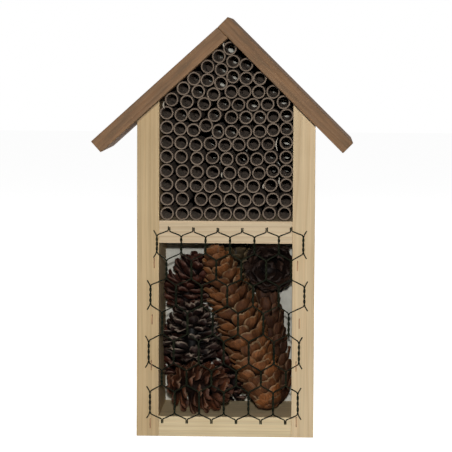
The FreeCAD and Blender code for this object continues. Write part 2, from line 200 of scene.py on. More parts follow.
def grid_faces(rows, columns, wrap_rows=False, wrap_columns=False):
    """Quads over a grid of points stored row by row."""
    faces = []
    for row in range(rows if wrap_rows else rows - 1):
        for column in range(columns if wrap_columns else columns - 1):
            below = (row + 1) % rows
            beside = (column + 1) % columns
            faces.append((
                row * columns + column,
                row * columns + beside,
                below * columns + beside,
                below * columns + column,
            ))
    return faces


def slab_faces(rows, columns):
    """A closed slab: a front grid, a back grid stored after it, and its four edges."""
    size = rows * columns
    front = grid_faces(rows, columns)
    back = [tuple(size + corner for corner in reversed(face)) for face in front]
    rim = [row * columns for row in range(rows)]
    rim += [(rows - 1) * columns + column for column in range(1, columns)]
    rim += [row * columns + columns - 1 for row in range(rows - 2, -1, -1)]
    rim += [column for column in range(columns - 2, 0, -1)]
    edge = []
    for place, corner in enumerate(rim):
        following = rim[(place + 1) % len(rim)]
        edge.append((corner, following, size + following, size + corner))
    return front + back + edge


def smooth_step(low, high, value):
    share = min(1.0, max(0.0, (value - low) / (high - low)))
    return share * share * (3 - 2 * share)


def swept(line, radius, sides=10):
    """A round wire along a line of points, closed at both ends."""
    rings = []
    direction = (line[1] - line[0]).normalized()
    across = direction.orthogonal().normalized()
    for place, point in enumerate(line):
        ahead = line[min(place + 1, len(line) - 1)]
        behind = line[max(place - 1, 0)]
        direction = (ahead - behind).normalized()
        across = (across - direction * across.dot(direction)).normalized()
        beside = direction.cross(across)
        inset = 0.72 if place in (0, len(line) - 1) else 1.0
        for side in range(sides):
            turn = 2 * math.pi * side / sides
            spoke = across * math.cos(turn) + beside * math.sin(turn)
            rings.append(point + spoke * radius * inset)
    faces = grid_faces(len(line), sides, wrap_columns=True)
    faces.append(tuple(range(sides)))
    faces.append(tuple(range(len(rings) - sides, len(rings))))
    return rings, faces


def rounded(line, spacing, passes):
    """The same line in short even steps, with its corners eased."""
    steps = []
    for start, end in zip(line, line[1:]):
        count = max(1, round((end - start).length / spacing))
        steps += [start.lerp(end, step / count) for step in range(count)]
    steps.append(line[-1])
    for _ in range(passes):
        middle = [
            behind * 0.25 + here * 0.5 + ahead * 0.25
            for behind, here, ahead in zip(steps, steps[1:], steps[2:])
        ]
        steps = [steps[0]] + middle + [steps[-1]]
    return steps


# ---- material nodes ------------------------------------------------------
class Look:
    """A principled material and the nodes that feed it."""

    def __init__(self, name, **settings):
        self.material = bpy.data.materials.new(name)
        self.material.use_nodes = True
        self.tree = self.material.node_tree
        self.shader = self.tree.nodes["Principled BSDF"]
        for socket, value in settings.items():
            self.shader.inputs[socket.replace("_", " ")].default_value = value

    def add(self, kind, inputs, output=0, **settings):
        made = self.tree.nodes.new(kind)
        for key, value in settings.items():
            setattr(made, key, value)
        for key, value in inputs.items():
            self.feed(made.inputs[key], value)
        return made.outputs[output]

    def feed(self, socket, value):
        if isinstance(value, bpy.types.NodeSocket):
            self.tree.links.new(value, socket)
        else:
            socket.default_value = value

    def place(self):
        return self.add("ShaderNodeTexCoord", {}, output="Object")

    def mark(self, name):
        return self.add("ShaderNodeAttribute", {}, output="Fac", attribute_name=name)

    def maths(self, operation, *values, clamp=False):
        return self.add(
            "ShaderNodeMath", dict(enumerate(values)), operation=operation, use_clamp=clamp
        )

    def vector(self, operation, *values, output=0):
        return self.add(
            "ShaderNodeVectorMath", dict(enumerate(values)), output=output, operation=operation
        )

    def noise(self, place, scale, detail=2.0, roughness=0.5, distortion=0.0):
        inputs = {"Vector": place, "Scale": scale, "Detail": detail}
        inputs.update({"Roughness": roughness, "Distortion": distortion})
        return self.add("ShaderNodeTexNoise", inputs, output="Fac")

    def spread(self, value, low, high, to_low=0.0, to_high=1.0):
        inputs = {0: value, 1: low, 2: high, 3: to_low, 4: to_high}
        return self.add("ShaderNodeMapRange", inputs, clamp=True)

    def ramp(self, value, stops):
        colours = self.add("ShaderNodeValToRGB", {"Fac": value}).node
        elements = colours.color_ramp.elements
        while len(elements) < len(stops):
            elements.new(0.5)
        for element, (position, colour) in zip(elements, stops):
            element.position = position
            element.color = (*colour, 1)
        return colours.outputs["Color"]

    def blend(self, share, first, second, kind="MIX"):
        mix = self.tree.nodes.new("ShaderNodeMix")
        mix.data_type = "RGBA"
        mix.blend_type = kind
        for place, value in ((0, share), (6, first), (7, second)):
            if isinstance(value, tuple):
                value = (*value, 1)
            self.feed(mix.inputs[place], value)
        return mix.outputs[2]

    def finish(self, colour, roughness, height=None, depth=0.1 * MM, strength=1.0):
        self.feed(self.shader.inputs["Base Color"], colour)
        self.feed(self.shader.inputs["Roughness"], roughness)
        if height is not None:
            inputs = {"Height": height, "Distance": depth, "Strength": strength}
            self.feed(self.shader.inputs["Normal"], self.add("ShaderNodeBump", inputs))
        return self.material


def wood(name, turn, pith, pale, late, ring=2.6 * MM, contrast=0.55, stain=None, painted_shade_planes=()):
    """Softwood. turn lays the grain, along local Z, on the board; pith is the log's middle."""
    look = Look(name)
    place = look.place()
    lying = look.add(
        "ShaderNodeMapping", {"Vector": place, "Rotation": turn, "Location": pith}
    )
    long_wave = look.add("ShaderNodeMapping", {"Vector": lying, "Scale": (14, 14, 3.5)})
    wander = look.noise(long_wave, 1.0, detail=2.5)
    flat = look.vector("MULTIPLY", lying, (1, 1, 0))
    from_pith = look.vector("LENGTH", flat, output="Value")
    bent = look.maths("MULTIPLY_ADD", wander, 9 * MM, from_pith)
    phase = look.maths("FRACT", look.maths("DIVIDE", bent, ring))
    late_wood = look.ramp(phase, [
        (0.0, (0, 0, 0)), (0.38, (0.10, 0.10, 0.10)), (0.78, (0.55, 0.55, 0.55)),
        (0.90, (1, 1, 1)), (0.97, (0.15, 0.15, 0.15)),
    ])
    fibre_place = look.add("ShaderNodeMapping", {"Vector": lying, "Scale": (1500, 1500, 28)})
    fibre = look.noise(fibre_place, 1.0, detail=3, roughness=0.65)
    streak_place = look.add("ShaderNodeMapping", {"Vector": lying, "Scale": (260, 260, 6)})
    streak = look.noise(streak_place, 1.0, detail=3, roughness=0.6)
    cloud = look.noise(place, 22.0, detail=3)
    share = look.maths("MULTIPLY", late_wood, contrast)
    colour = look.blend(share, pale, late)
    streaks = look.ramp(streak, [(0.30, (0.80, 0.78, 0.74)), (0.62, (1.06, 1.05, 1.04))])
    colour = look.blend(0.75, colour, streaks, "MULTIPLY")
    fibres = look.ramp(fibre, [(0.28, (0.72, 0.69, 0.64)), (0.55, (1.03, 1.03, 1.03))])
    colour = look.blend(0.42, colour, fibres, "MULTIPLY")
    clouds = look.ramp(cloud, [(0.32, (0.90, 0.86, 0.80)), (0.68, (1.05, 1.05, 1.05))])
    colour = look.blend(0.6, colour, clouds, "MULTIPLY")
    if stain is not None:
        patch = look.noise(look.add(
            "ShaderNodeMapping", {"Vector": lying, "Scale": (210, 210, 30)}
        ), 1.0, detail=4, roughness=0.66)
        patches = look.ramp(patch, [(0.34, stain[0]), (0.52, stain[1]), (0.70, stain[2])])
        colour = look.blend(1.0, colour, patches, "MULTIPLY")
    # Painted shade: a near-black band along each given plane, standing in for the shadow under the
    # roof boards where they sit on the posts.
    for normal, offset, reach in painted_shade_planes:
        depth = look.maths(
            "ADD", look.vector("DOT_PRODUCT", place, normal, output="Value"), -offset
        )
        ragged = look.maths("MULTIPLY_ADD", fibre, -1.1 * MM, depth)
        seam = look.spread(ragged, -0.45 * reach - 0.4 * MM, reach - 0.4 * MM, 1, 0)
        colour = look.blend(seam, colour, (0.030, 0.016, 0.007))
    rough = look.spread(fibre, 0.3, 0.7, 0.62, 0.80)
    relief = look.maths("MULTIPLY_ADD", late_wood, 0.6, look.maths("MULTIPLY", fibre, 1.0))
    return look.finish(colour, rough, relief, depth=0.10 * MM, strength=0.8)


def card():
    """Grey-brown wound card, with the spiral edge of its plies and a paler cut rim."""
    look = Look("wound_card")
    place = look.place()
    middle_x = look.mark("middle_x")
    middle_z = look.mark("middle_z")
    tone = look.mark("tone")
    rim = look.mark("rim")
    inside = look.mark("inside")
    painted_shade_fill = look.mark("painted_shade_fill")
    torn = look.mark("torn")
    parts = look.add("ShaderNodeSeparateXYZ", {0: place}).node.outputs
    around = look.maths(
        "ARCTAN2",
        look.maths("SUBTRACT", parts[2], middle_z),
        look.maths("SUBTRACT", parts[0], middle_x),
    )
    turn = look.maths("MULTIPLY_ADD", parts[1], 1 / TUBE_WRAP_PITCH, tone)
    spiral = look.maths(
        "FRACT", look.maths("MULTIPLY_ADD", around, 1 / (2 * math.pi), turn)
    )
    seam = look.ramp(spiral, [
        (0.0, (1, 1, 1)), (0.03, (0.1, 0.1, 0.1)), (0.06, (0, 0, 0)), (0.97, (0, 0, 0)),
    ])
    pulp = look.noise(place, 1500, detail=3, roughness=0.7)
    smear = look.noise(place, 160, detail=3)
    colour = look.ramp(tone, [
        (0.0, (0.145, 0.100, 0.068)), (0.5, (0.185, 0.134, 0.094)), (1.0, (0.225, 0.168, 0.122)),
    ])
    pulps = look.ramp(pulp, [(0.3, (0.72, 0.70, 0.68)), (0.7, (1.18, 1.18, 1.18))])
    colour = look.blend(0.7, colour, pulps, "MULTIPLY")
    smears = look.ramp(smear, [(0.35, (0.85, 0.82, 0.80)), (0.7, (1.1, 1.1, 1.1))])
    colour = look.blend(0.7, colour, smears, "MULTIPLY")
    colour = look.blend(look.maths("MULTIPLY", seam, 0.5), colour, (0.05, 0.037, 0.028))
    # Painted light: the inside of each tube is coloured paler than its outside, standing in for the
    # flash's bright scatter off the inner wall at grazing angles.
    painted_lit_inside = look.blend(0.8, (0.37, 0.295, 0.23), pulps, "MULTIPLY")
    colour = look.blend(inside, colour, painted_lit_inside)
    colour = look.blend(look.maths("MULTIPLY", rim, 0.35), colour, (0.30, 0.24, 0.185))
    # Painted shade: the collars and plugs are near-black, standing in for the shade deep in the gaps
    # between the tubes and at their far ends.
    colour = look.blend(painted_shade_fill, colour, (0.040, 0.028, 0.020))
    colour = look.blend(torn, colour, (0.52, 0.47, 0.39))
    relief = look.maths("MULTIPLY_ADD", seam, -0.8, pulp)
    return look.finish(colour, 0.86, relief, depth=0.12 * MM, strength=0.7)


def cone_look(name, body, dark, margin, tip_share, gloss=0.55):
    """Dry woody scales: painted shade darkening each scale towards its base, where the scales
    overlap; a paler thin margin, fine lengthwise streaks.
    """
    look = Look(name, Specular_IOR_Level=0.22)
    place = look.place()
    tone = look.mark("tone")
    along = look.mark("along")
    rim = look.mark("rim")
    across = look.mark("across")
    lengths = look.add(
        "ShaderNodeCombineXYZ",
        {0: look.maths("MULTIPLY", across, 26.0), 1: look.maths("MULTIPLY", along, 3.0), 2: tone},
    )
    streak = look.noise(lengths, 1.0, detail=3, roughness=0.6)
    speck = look.noise(place, 700, detail=3, roughness=0.6)
    # Painted shade: each scale blends from the dark colour at its base, where the next scales cover
    # it, to its body colour.
    shade = look.spread(along, 0.15, 0.80)
    colour = look.blend(shade, dark, body)
    tones = look.ramp(tone, [
        (0.0, (0.50, 0.45, 0.43)), (0.5, (0.95, 0.93, 0.92)), (1.0, (1.42, 1.30, 1.14)),
    ])
    colour = look.blend(1.0, colour, tones, "MULTIPLY")
    streaks = look.ramp(streak, [(0.32, (0.50, 0.46, 0.43)), (0.62, (1.28, 1.25, 1.20))])
    colour = look.blend(0.9, colour, streaks, "MULTIPLY")
    blotch = look.noise(place, 130, detail=3, roughness=0.6)
    blotches = look.ramp(blotch, [(0.36, (0.62, 0.60, 0.60)), (0.60, (1.18, 1.14, 1.08))])
    colour = look.blend(0.9, colour, blotches, "MULTIPLY")
    specks = look.ramp(speck, [(0.32, (0.70, 0.68, 0.66)), (0.66, (1.16, 1.16, 1.16))])
    colour = look.blend(0.7, colour, specks, "MULTIPLY")
    edge = look.maths("MULTIPLY", look.spread(rim, 0.80, 0.98), tip_share)
    edge = look.maths("MULTIPLY", edge, look.spread(along, 0.45, 0.8))
    edge = look.maths("MULTIPLY", edge, look.spread(speck, 0.30, 0.55, 0.35, 1.0))
    patch = look.noise(place, 75, detail=2)
    edge = look.maths("MULTIPLY", edge, look.spread(patch, 0.42, 0.60, 0.12, 1.0))
    colour = look.blend(edge, colour, margin)
    relief = look.maths("MULTIPLY_ADD", streak, 1.4, speck)
    return look.finish(colour, look.spread(speck, 0.3, 0.7, gloss - 0.1, gloss + 0.15),
                       relief, depth=0.25 * MM, strength=0.9)


def coated_wire():
    look = Look("green_coated_wire", Specular_IOR_Level=0.06)
    place = look.place()
    scuff = look.noise(place, 900, detail=3)
    patch = look.noise(place, 90, detail=2)
    colour = look.ramp(patch, [(0.3, (0.006, 0.008, 0.004)), (0.7, (0.016, 0.019, 0.009))])
    scuffs = look.ramp(scuff, [(0.60, (0, 0, 0)), (0.78, (1, 1, 1))])
    colour = look.blend(look.maths("MULTIPLY", scuffs, 0.35), colour, (0.040, 0.043, 0.032))
    return look.finish(colour, look.spread(scuff, 0.3, 0.8, 0.38, 0.6), scuff,
                       depth=0.05 * MM, strength=0.6)


def steel(name, colour, tarnish, roughness):
    look = Look(name, Metallic=1.0)
    place = look.place()
    cloud = look.noise(place, 260, detail=4, roughness=0.65)
    fine = look.noise(place, 2400, detail=2)
    shade = look.ramp(cloud, [(0.30, tarnish), (0.62, colour)])
    fines = look.ramp(fine, [(0.3, (0.85, 0.85, 0.85)), (0.7, (1.05, 1.05, 1.05))])
    shade = look.blend(0.8, shade, fines, "MULTIPLY")
    rough = look.spread(cloud, 0.3, 0.7, roughness + 0.18, roughness)
    return look.finish(shade, rough, fine, depth=0.03 * MM, strength=0.6)


def faced_board():
    """Pale fibreboard: a smooth light face with faint fibres and grey smudges."""
    look = Look("pale_fibreboard")
    place = look.place()
    fibre = look.noise(
        look.add("ShaderNodeMapping", {"Vector": place, "Scale": (900, 400, 260)}), 1.0, detail=3
    )
    cloud = look.noise(place, 45, detail=4, roughness=0.6)
    colour = look.ramp(cloud, [(0.3, (0.43, 0.425, 0.375)), (0.7, (0.56, 0.555, 0.50))])
    fibres = look.ramp(fibre, [(0.3, (0.88, 0.87, 0.85)), (0.62, (1.03, 1.03, 1.03))])
    colour = look.blend(0.7, colour, fibres, "MULTIPLY")
    return look.finish(colour, 0.7, fibre, depth=0.05 * MM, strength=0.5)


# ---- tubes ---------------------------------------------------------------
def islands(mesh):
    """The connected parts of a mesh, as lists of vertex places."""
    parent = list(range(len(mesh.vertices)))

    def root(item):
        while parent[item] != item:
            parent[item] = parent[parent[item]]
            item = parent[item]
        return item

    for edge in mesh.edges:
        parent[root(edge.vertices[0])] = root(edge.vertices[1])
    groups = {}
    for vertex in mesh.vertices:
        groups.setdefault(root(vertex.index), []).append(vertex.co)
    return list(groups.values())


def corners(points):
    """The lowest and highest corners of some points' box."""
    low = Vector(min(point[axis] for point in points) for axis in range(3))
    high = Vector(max(point[axis] for point in points) for axis in range(3))
    return low, high


def tube_places(node):
    """The outer box of each tube in a CAD row: lowest and highest corners."""
    boxes = []
    for part in islands(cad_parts[node].data):
        low, high = corners(part)
        middle = (low + high) / 2
        for known in boxes:
            known_middle = (known[0] + known[1]) / 2
            if Vector((middle.x - known_middle.x, middle.z - known_middle.z)).length < MM:
                for axis in range(3):
                    known[0][axis] = min(known[0][axis], low[axis])
                    known[1][axis] = max(known[1][axis], high[axis])
                break
        else:
            boxes.append([low, high])
    return sorted(boxes, key=lambda box: box[0].x)


def card_tube(shells, low, high, squeezed, drop, chance):
    """One cut length of card tube: slightly out of round, with a soft uneven rim."""
    middle = (low + high) / 2
    outer = (high.x - low.x) / 2
    inner = outer - TUBE_WALL
    length = high.y - low.y
    oval = chance.uniform(0.002, 0.022)
    lean = chance.uniform(0, math.pi)
    if squeezed:
        oval, lean = OVAL_SHARE, math.pi / 2
    aside = chance.uniform(-TUBE_LEAN, TUBE_LEAN)
    upward = chance.uniform(-TUBE_LEAN, TUBE_LEAN) - drop
    tone = chance.random()
    salt = chance.uniform(0, 50)
    rings = [
        (0.40, outer, 0.0, 0.0), (0.14, outer - 0.06 * MM, 0.7, 0.0),
        (0.0, outer - 0.24 * MM, 1.0, 0.0), (0.04, (outer + inner) / 2, 1.0, 0.0),
        (0.0, inner + 0.24 * MM, 1.0, 0.0), (0.14, inner + 0.06 * MM, 0.7, 0.2),
        (0.45, inner, 0.1, 1.0), (3.0, inner, 0.0, 1.0), (12.0, inner, 0.0, 1.0),
        (30.0, inner, 0.0, 1.0), (52.0, inner, 0.0, 1.0),
        (length / MM - 0.45, inner, 0.1, 1.0), (length / MM - 0.05, inner + 0.2 * MM, 1.0, 0.3),
        (length / MM, (outer + inner) / 2, 1.0, 0.0),
        (length / MM - 0.05, outer - 0.2 * MM, 1.0, 0.0), (length / MM - 0.45, outer, 0.0, 0.0),
        (50.0, outer, 0.0, 0.0), (25.0, outer, 0.0, 0.0), (6.0, outer, 0.0, 0.0),
    ]
    points = []
    marks = []
    for depth, radius, rim, inside in rings:
        for side in range(TUBE_SIDES):
            turn = 2 * math.pi * side / TUBE_SIDES
            wave = oval * math.cos(2 * (turn - lean))
            swell = radius * (1 + TUBE_SWELL + wave)
            sample = Vector((math.cos(turn) * 2.2, math.sin(turn) * 2.2, salt))
            uneven = 0.16 * MM * noise.noise(sample) + 0.10 * MM * noise.noise(sample * 3)
            nearness = max(0.0, 1 - depth / 3.0)
            share = depth * MM / length
            points.append(Vector((
                middle.x + swell * math.cos(turn) + aside * share,
                low.y + depth * MM + (uneven + 0.12 * MM) * nearness,
                middle.z + swell * math.sin(turn) + upward * share,
            )))
            marks.append((middle.x, middle.z, tone, rim, inside, 0.0, 0.0))
    faces = grid_faces(len(rings), TUBE_SIDES, wrap_rows=True, wrap_columns=True)
    shells.add(points, faces, marks)
    return Vector((middle.x + aside, low.y, middle.z + upward)), inner


def painted_shade_plug(shells, rear, inner, opening, chance):
    """A near-black plug inside a tube's rear end, with an opening of the given radius left in it:
    painted shade at the far end of the bore.
    """
    slack = (inner - opening) * 0.35
    shift = Vector((chance.uniform(-slack, slack), 0, chance.uniform(-slack, slack)))
    corners = [
        (PLUG_FRONT, inner, 0), (PLUG_FRONT, opening, 1),
        (PLUG_REAR, opening, 1), (PLUG_REAR, inner, 0),
    ]
    points = []
    for deep, radius, shifted in corners:
        for side in range(TUBE_SIDES):
            turn = 2 * math.pi * side / TUBE_SIDES
            spoke = Vector((math.cos(turn), 0, math.sin(turn))) * radius
            points.append(rear + spoke + shift * shifted + Vector((0, deep, 0)))
    faces = grid_faces(4, TUBE_SIDES, wrap_rows=True, wrap_columns=True)
    shells.add(points, faces, [(rear.x, rear.z, 0.5, 0.0, 0.0, 1.0, 0.0)] * len(points))


def post_top(side):
    """The sloping top of a post: its plane's upward normal and distance along it."""
    pitch = -LEFT_PITCH if side == "left" else RIGHT_PITCH
    normal = Vector((math.sin(pitch), 0, math.cos(pitch)))
    points = [vertex.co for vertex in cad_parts["side_board_" + side].data.vertices]
    return normal, max(point.dot(normal) for point in points)


def upper_room():
    """The planes that bound the tubes' room: each an outward normal and its distance."""
    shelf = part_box("middle_shelf")
    return [
        (Vector((-1, 0, 0)), -shelf[0].x), (Vector((1, 0, 0)), shelf[1].x),
        (Vector((0, 0, -1)), -shelf[1].z), post_top("left"), post_top("right"),
    ]


def open_distance(middle, direction, walls, middles, outer):
    """How far the room is clear from a tube's middle: up to the next tube, board or roof."""
    reach = SHADE_FILL_REACH + outer
    for normal, offset in walls:
        closing = direction.dot(normal)
        if closing > 0:
            reach = min(reach, (offset - middle.dot(normal)) / closing)
    for other in middles:
        apart = other - middle
        ahead = apart.dot(direction)
        inside = ahead ** 2 - apart.length_squared + (outer - 0.5 * MM) ** 2
        if ahead > 0 and inside > 0:
            reach = min(reach, ahead - math.sqrt(inside))
    return max(reach, outer)


def painted_shade_collar(shells, middle, outer, walls, middles):
    """A near-black collar round a tube's rear end, filling the gaps to its neighbours: painted shade
    in the deep gaps between the tubes.
    """
    near = [other for other in middles if 0 < (other - middle).length < 4 * outer]
    points = []
    for deep, filled in ((SHADE_FILL_FRONT, 0), (SHADE_FILL_FRONT, 1), (SHADE_FILL_REAR, 1), (SHADE_FILL_REAR, 0)):
        for side in range(TUBE_SIDES):
            turn = 2 * math.pi * side / TUBE_SIDES
            direction = Vector((math.cos(turn), 0, math.sin(turn)))
            reach = outer - 0.3 * MM
            if filled:
                reach = open_distance(middle, direction, walls, near, outer)
            points.append(middle + direction * reach + Vector((0, deep, 0)))
    faces = grid_faces(4, TUBE_SIDES, wrap_rows=True, wrap_columns=True)
    shells.add(points, faces, [(middle.x, middle.z, 0.5, 0.0, 0.0, 1.0, 0.0)] * len(points))


def torn_sliver(shells, x, z, height, bow):
    """A thin curved strip torn from a tube, standing beside it near the front."""
    rows, columns = 9, 3
    fronts, backs = [], []
    for row in range(rows):
        share = row / (rows - 1)
        taper = math.sin(math.pi * (0.08 + 0.84 * share))
        for column in range(columns):
            across = (column - 1) * 0.42 * taper - bow * taper
            level = z + height * (share - 0.5)
            fronts.append(Vector((x + across, FRONT_Y / MM + 1.5, level)) * MM)
            backs.append(Vector((x + across, FRONT_Y / MM + 3.5, level)) * MM)
    marks = [(x * MM, z * MM, 0.5, 0.0, 0.0, 0.0, 1.0)] * (2 * len(fronts))
    shells.add(fronts + backs, slab_faces(rows, columns), marks)


def tubes(material):
    rows = {row: tube_places(f"tube_row_{row:02d}") for row in range(1, 14)}
    walls = upper_room()
    middles = []
    for boxes in rows.values():
        middles += [Vector(((low.x + high.x) / 2, 0, (low.z + high.z) / 2)) for low, high in boxes]
    for row, boxes in rows.items():
        chance = random.Random(row)
        shells = Shells(("middle_x", "middle_z", "tone", "rim", "inside", "painted_shade_fill", "torn"))
        for place, (low, high) in enumerate(boxes, 1):
            middle = Vector(((low.x + high.x) / 2, 0, (low.z + high.z) / 2))
            squeezed = row == OVAL_TUBE[0] and abs(middle.x - OVAL_TUBE[1]) < MM
            is_open = place in OPEN_TUBES[row]
            drop = LOW_ROW_DROP if is_open and row in LOW_ROWS else 0.0
            rear, inner = card_tube(shells, low, high, squeezed, drop, chance)
            opening = chance.uniform(2.1, 3.0) * MM if is_open else 0.2 * MM
            painted_shade_plug(shells, rear, inner, opening, chance)
            painted_shade_collar(shells, middle, (high.x - low.x) / 2, walls, middles)
        if row == 1:
            for measures in TORN_CARD:
                torn_sliver(shells, *measures)
        shells.piece(f"card_tubes_{row:02d}", material, [f"tube_row_{row:02d}"])


# ---- cones ---------------------------------------------------------------
def spindle(share, fattest, slope):
    """How wide a cone is, as a share of its largest radius, from its stem to its tip."""
    stops = [
        (0.0, 0.30), (0.05, 0.62), (fattest / 2, 0.93), (fattest, 1.0),
        ((1 + fattest) / 2, slope), (0.94, 0.62 * slope), (1.0, 0.20),
    ]
    share = min(1.0, max(0.0, share))
    for (start, first), (end, second) in zip(stops, stops[1:]):
        if share <= end:
            return first + (second - first) * smooth_step(start, end, share)
    return stops[-1][1]


def woody_core(shells, stem, axis, across, beside, length, radius, fattest, slope):
    rows, columns = 16, 18
    points = []
    for row in range(rows):
        share = row / (rows - 1)
        wide = radius * spindle(share, fattest, slope)
        if row in (0, rows - 1):
            wide *= 0.35
        for column in range(columns):
            turn = 2 * math.pi * column / columns
            spoke = across * math.cos(turn) + beside * math.sin(turn)
            points.append(stem + axis * length * share + spoke * wide)
    faces = grid_faces(rows, columns, wrap_columns=True)
    faces.append(tuple(range(columns)))
    faces.append(tuple(range(len(points) - columns, len(points))))
    shells.add(points, faces, [(0.2, 0.0, 0.0, 0.0)] * len(points))


def scale_blade(shells, base, tip, outward, form, tone, chance):
    """One scale, a thin closed spoon from base to tip; form holds its measures."""
    reach = tip - base
    length = reach.length
    forward = reach.normalized()
    normal = (outward - forward * outward.dot(forward)).normalized()
    across = forward.cross(normal)
    rows, columns = 10, 9
    shoulder = form["shoulder"]
    half = form["width"] / 2
    salt = chance.uniform(0, 90)
    lean = chance.uniform(-0.07, 0.07)
    fronts, backs, marks = [], [], []
    for row in range(rows):
        share = row / (rows - 1)
        if share < 0.62:
            along = share / 0.62 * shoulder
            wide = form["neck"] + (1 - form["neck"]) * smooth_step(0, shoulder, along)
        else:
            turn = (share - 0.62) / 0.38 * math.radians(form["tip_turn"])
            along = shoulder + (1 - shoulder) * math.sin(turn)
            wide = math.cos(turn) ** form["blunt"]
        for column in range(columns):
            side = -1 + 2 * column / (columns - 1)
            offset = side * half * wide
            wave = noise.noise(Vector((side * 1.6 + salt, along * 2.4, salt)))
            ripple = form["ripple"] * wave * smooth_step(0.3, 1.0, along)
            bulge = form["bow"] * length * math.sin(math.pi * along)
            curl = form["curl"] * length * max(0.0, along - 0.55) ** 2 * 4
            drop = form["cup"] * (side * wide) ** 2 * half
            swell = form["swell"] * math.exp(-((along - 0.86) / 0.13) ** 2) * (1 - abs(side) ** 1.5)
            keel = form["keel"] * (1 - abs(side)) ** 2 * smooth_step(0.2, 0.9, along)
            thick = form["thick"] * (1 - 0.55 * abs(side) ** 2) * (1 - 0.35 * along)
            lie = base + forward * along * length + across * (offset + lean * along * length)
            middle = lie + normal * (bulge + curl - drop + ripple)
            fronts.append(middle + normal * (thick / 2 + swell + keel))
            backs.append(middle - normal * (thick / 2 + swell * 0.35))
            rim = max(abs(side), smooth_step(0.62, 1.0, share) ** 0.8)
            marks.append((tone, along, rim, side * 0.5 + salt))
    shells.add(fronts + backs, slab_faces(rows, columns), marks + marks)


def lower_room():
    """The corners of the space that the cones keep to, just clear of its boards."""
    margin = Vector((1, 1, 1)) * ROOM_MARGIN
    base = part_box("base_board")
    low = Vector((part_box("side_board_left")[1].x, base[0].y, base[1].z))
    high = Vector((
        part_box("side_board_right")[0].x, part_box("back_panel")[0].y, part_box("middle_shelf")[0].z,
    ))
    return low + margin, high - margin


def kept_inside(point, low, high):
    return Vector(min(max(point[axis], low[axis]), high[axis]) for axis in range(3))


def cone(name, material, slot, count, form, spread, core, seed):
    """A cone of woody scales set in a golden-angle spiral.

    spread gives the scales' angle to the axis at the stem, at the middle and at the tip.
    """
    tip, stem, radius, fattest, slope = CONES[name]
    tip = Vector(tip) * MM
    stem = Vector(stem) * MM
    radius *= MM
    chance = random.Random(seed)
    length = (tip - stem).length
    axis = (tip - stem).normalized()
    across = axis.cross(Vector((0.2, 1, 0.1))).normalized()
    beside = axis.cross(across)
    shells = Shells(("tone", "along", "rim", "across"))
    woody_core(shells, stem, axis, across, beside, length * 0.97, radius * core, fattest, slope)
    for place in range(count):
        share = (place + 0.5) / count
        turn = place * GOLDEN_ANGLE + seed + chance.uniform(-0.14, 0.14)
        outward = across * math.cos(turn) + beside * math.sin(turn)
        first, middle, last = spread
        if share < 0.5:
            angle = first + (middle - first) * smooth_step(0, 0.5, share)
        else:
            angle = middle + (last - middle) * smooth_step(0.5, 1, share)
        angle = math.radians(angle + chance.uniform(-form["unruly"], form["unruly"]))
        size = 0.62 + 0.38 * math.sin(math.pi * min(1, 0.12 + share * 0.95))
        reach = form["length"] * size * chance.uniform(0.94, 1.05)
        end_radius = radius * form["flare"] * spindle(share, fattest, slope)
        start_radius = end_radius - reach * math.sin(angle)
        start_radius = max(start_radius, radius * core * 0.7 * spindle(share, fattest, slope))
        start_height = share * length - reach * math.cos(angle)
        if start_height < -0.01 * length:
            start_height = -0.01 * length
        start = stem + axis * start_height + outward * start_radius
        end = stem + axis * (share * length) + outward * end_radius
        measures = dict(form)
        measures["width"] = form["width"] * (0.55 + 0.45 * size) * chance.uniform(0.93, 1.06)
        facing = outward * math.cos(angle) - axis * math.sin(angle)
        scale_blade(shells, start, end, facing, measures, chance.random(), chance)
    low, high = lower_room()
    shells.points = [kept_inside(point, low, high) for point in shells.points]
    return shells.piece(name + "_scales", material, [name], smooth_angle=55)


SPRUCE_SCALE = {
    "length": 21 * MM, "width": 15 * MM, "neck": 0.5, "shoulder": 0.68, "tip_turn": 86,
    "blunt": 0.48, "bow": 0.09, "curl": -0.04, "cup": 0.40, "swell": 0.0, "keel": 0.15 * MM,
    "thick": 1.0 * MM, "ripple": 1.7 * MM, "flare": 1.08, "unruly": 13,
}
PINE_SCALE = {
    "length": 16 * MM, "width": 10.5 * MM, "neck": 0.5, "shoulder": 0.66, "tip_turn": 80,
    "blunt": 0.8, "bow": 0.06, "curl": -0.06, "cup": 0.28, "swell": 1.0 * MM, "keel": 0.35 * MM,
    "thick": 1.3 * MM, "ripple": 2.0 * MM, "flare": 1.20, "unruly": 15,
}


